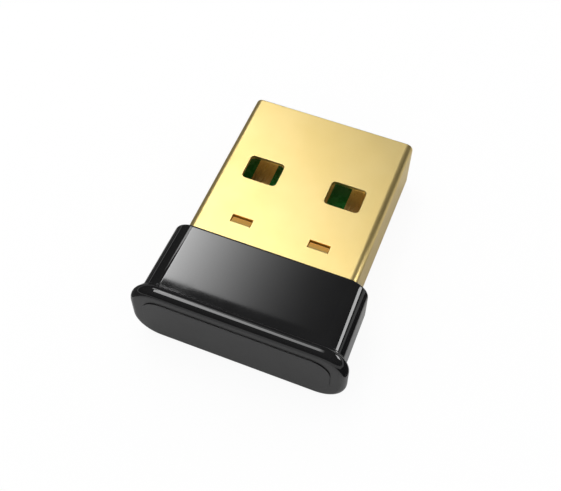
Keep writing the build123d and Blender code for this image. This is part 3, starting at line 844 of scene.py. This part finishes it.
# %% Camera at the photograph's place
picture_width, focal_pixels, shift_pixels = 561, 917.556, (1.46, 3.50)
camera_data = bpy.data.cameras.new("photo_camera")
camera_data.sensor_width = 36.0
camera_data.lens = focal_pixels * camera_data.sensor_width / picture_width
camera_data.shift_x = shift_pixels[0] / picture_width
camera_data.shift_y = shift_pixels[1] / picture_width
camera_data.clip_start = 0.001
camera_data.clip_end = 10.0
camera = bpy.data.objects.new("photo_camera", camera_data)
bpy.context.scene.collection.objects.link(camera)
right = Vector((0.92787013, 0.37287178, 0.00486373))
up = Vector((-0.31533218, 0.77759039, 0.54398419))
forward = Vector((-0.19905436, 0.50628037, -0.83908137))
place_in_mm = Vector((12.408, -30.042, 52.844))
turn = Matrix((right, up, -forward)).transposed()
camera.matrix_world = Matrix.Translation(place_in_mm * MM) @ turn.to_4x4()
bpy.context.scene.camera = camera
print("camera is", round(place_in_mm.length, 1), "mm from the part, lens", round(camera_data.lens, 1))

# %% [markdown]
# ## Floor
# The adapter lies on a plain white surface. It rests on the underside of the cap's bead and
# on the edge of the plug's mouth, which tips it by about two degrees, so the floor is set to
# touch both. The camera sees it nearly white, with a matte share that keeps the soft shadow.
# Reflections see a darker floor, which keeps the cap's end as dark as in the photograph.

# %% Floor under the bead and the mouth
floor_half, floor_gap = 900.0, 0.012
bead_touch = Vector((0, crest_y - lip_land / 2, -lip_half[1]))
mouth_touch = Vector((0, mouth_y - mouth_rounding, -shell_half_height))
tip = math.atan2(mouth_touch.z - bead_touch.z, mouth_touch.y - bead_touch.y)
bm = bmesh.new()
ground = bmesh.ops.create_grid(bm, x_segments=1, y_segments=1, size=floor_half)["verts"]
bmesh.ops.rotate(bm, cent=(0, 0, 0), matrix=Matrix.Rotation(tip, 3, "X"), verts=ground)
bmesh.ops.translate(bm, vec=bead_touch - Vector((0, 0, floor_gap)), verts=ground)
floor_mesh = bpy.data.meshes.new("floor")
bm.to_mesh(floor_mesh)
bm.free()
floor_mesh.transform(Matrix.Scale(MM, 4))
floor = bpy.data.objects.new("floor", floor_mesh)
bpy.context.scene.collection.objects.link(floor)
floor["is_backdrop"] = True
print("floor is tipped by", round(math.degrees(tip), 2), "degrees")

# %% [markdown]
# The floor's shader mixes a matte white with a white that gives off its own light. Light Path
# tells which ray asks, and picks the share of each.

# %% Floor finish
matte_tone, mirrored_tone = 0.88, 0.40
camera_share, mirrored_share = 0.92, 0.15
floor_white, tree, shader = start_material("floor_white")
tree.nodes.remove(shader)
path = place(tree, "ShaderNodeLightPath").outputs
mirrored = maths(tree, "MAXIMUM", path["Is Glossy Ray"], path["Is Transmission Ray"])
seen = maths(tree, "MAXIMUM", path["Is Camera Ray"], mirrored)
tone = span(tree, mirrored, 0.0, 1.0, matte_tone, mirrored_tone)
matte = place(tree, "ShaderNodeBsdfDiffuse", {"Color": tone})
white = place(tree, "ShaderNodeEmission", {"Color": (1, 1, 1, 1), "Strength": 1.0})
share = span(tree, path["Is Camera Ray"], 0.0, 1.0, mirrored_share, camera_share)
share = maths(tree, "MULTIPLY", seen, share)
surface = place(tree, "ShaderNodeMixShader", {0: share, 1: matte.outputs[0], 2: white.outputs[0]})
below = place(tree, "ShaderNodeNewGeometry").outputs["Backfacing"]
clear = place(tree, "ShaderNodeBsdfTransparent")
sided = place(tree, "ShaderNodeMixShader", {0: below, 1: surface.outputs[0], 2: clear.outputs[0]})
tree.links.new(sided.outputs[0], tree.nodes["Material Output"].inputs["Surface"])
floor_mesh.materials.append(floor_white)
print("floor finish:", len(tree.nodes), "nodes")

# %% [markdown]
# ## Light
# Shiny things are lit by what they reflect. The camera sees a white world and matte surfaces
# get a soft light from all round, but reflections see a dim room that is a little lighter
# overhead, because the cap in the photograph mirrors dark surroundings.

# %% World
camera_white, matte_light, low_room, high_room = 1.0, 0.85, 0.05, 0.13
world = bpy.data.worlds.new("studio")
bpy.context.scene.world = world
world.use_nodes = True
tree = world.node_tree
background = tree.nodes["Background"]
path = place(tree, "ShaderNodeLightPath").outputs
mirrored = maths(tree, "MAXIMUM", path["Is Glossy Ray"], path["Is Transmission Ray"])
direction = place(tree, "ShaderNodeTexCoord").outputs["Generated"]
upward = place(tree, "ShaderNodeSeparateXYZ", {"Vector": direction}).outputs["Z"]
dim_room = span(tree, upward, 0.0, 0.9, low_room, high_room)
soft_light = maths(tree, "MULTIPLY_ADD", path["Is Camera Ray"], camera_white - matte_light, matte_light)
dimmed = maths(tree, "MULTIPLY", mirrored, maths(tree, "SUBTRACT", dim_room, matte_light))
tree.links.new(maths(tree, "ADD", soft_light, dimmed), background.inputs["Strength"])
background.inputs["Color"].default_value = (1, 1, 1, 1)
print("world:", len(tree.nodes), "nodes")

# %% [markdown]
# ## Boxes and cards
# Two level soft boxes hang behind the part, where the cap's flat top and the plug mirror them,
# and fade from left to right as the light in the photograph does. A third hangs overhead and
# draws the line along the lip. One small card makes the line on the cap's right shoulder, and
# two low ones stand at the sides by the floor. The boxes light matte surfaces too, and the
# cards show only in reflections.

# %% Soft boxes and cards


def board(name, direction, distance, size, target=(0, 3, 0)):
    """A flat board beside the part that faces it and that the camera doesn't see."""
    bm = bmesh.new()
    corners = bmesh.ops.create_grid(bm, x_segments=1, y_segments=1, size=0.5 * MM)["verts"]
    bmesh.ops.scale(bm, vec=(size[0], size[1], 1), verts=corners)
    mesh = bpy.data.meshes.new(name)
    bm.to_mesh(mesh)
    bm.free()
    panel = bpy.data.objects.new(name, mesh)
    bpy.context.scene.collection.objects.link(panel)
    towards = Vector(direction).normalized()
    panel.location = (Vector(target) + towards * distance) * MM
    panel.rotation_mode = "QUATERNION"
    panel.rotation_quaternion = towards.to_track_quat("Z", "Y")
    panel.visible_camera = False
    panel.visible_shadow = False
    panel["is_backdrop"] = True
    paper, tree, shader = start_material(name)
    tree.nodes.remove(shader)
    glow = place(tree, "ShaderNodeEmission")
    tree.links.new(glow.outputs[0], tree.nodes["Material Output"].inputs["Surface"])
    mesh.materials.append(paper)
    return panel, tree, glow


def card(name, direction, distance, size, tone, target=(0, 3, 0)):
    """A plain card of this tone, which only reflections show."""
    panel, tree, glow = board(name, direction, distance, size, target)
    glow.inputs["Strength"].default_value = tone
    panel.visible_diffuse = False


def level_box(name, left, full, right, near, far, height, peak, power=1.0, least=0.0):
    """A soft box that lies level above the part and fades from left to right.

    It lies between these places left to right and near to far. It is at its peak as far as
    the place called full, and its least at its right. Its near edge is sharp.
    """
    middle = ((left + right) / 2, (near + far) / 2, height)
    panel, tree, glow = board(name, (0, 0, 1), 0, (right - left, far - near), middle)
    panel.rotation_quaternion = (1, 0, 0, 0)
    position = place(tree, "ShaderNodeTexCoord").outputs["Object"]
    across = place(tree, "ShaderNodeSeparateXYZ", {"Vector": position}).outputs["X"]
    fade = span(tree, across, (right - middle[0]) * MM, (full - middle[0]) * MM)
    fade = maths(tree, "POWER", fade, power)
    tree.links.new(maths(tree, "MULTIPLY_ADD", fade, peak - least, least), glow.inputs["Strength"])


level_box("key_box", -116, -112, -19, 138, 168, 258, 11.2, 3.0, 0.1)
level_box("plug_box", -200, -150, 20, 168, 250, 259, 3.6, 2.0)
level_box("lip_box", -124, -104, 64, -37, 114, 258, 5.6)
card("shoulder_card", (0.82, 0.49, 0.29), 12, (6, 3), 6.0, target=(6.5, -2.6, 1.9))
card("right_table_card", (1.0, 0, 0), 22, (25, 22), 0.03, target=(0, -4, bead_touch.z + 0.12))
card("left_table_card", (-1.0, 0, 0), 34, (46, 90), 0.10, target=(0, 12, bead_touch.z + 0.74))
for name in ("right_table_card", "left_table_card"):
    bpy.data.objects[name].rotation_quaternion = Matrix.Rotation(tip, 3, "X").to_quaternion()
bpy.context.scene.view_settings.view_transform = "Standard"

# %% [markdown]
# ## The dressed part's box
# The box of the dressed part is printed in millimetres.

# %% Print the dressed part's box
low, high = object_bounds()
print("dressed part, box in mm", [round(1000 * (b - a), 2) for a, b in zip(low, high)])
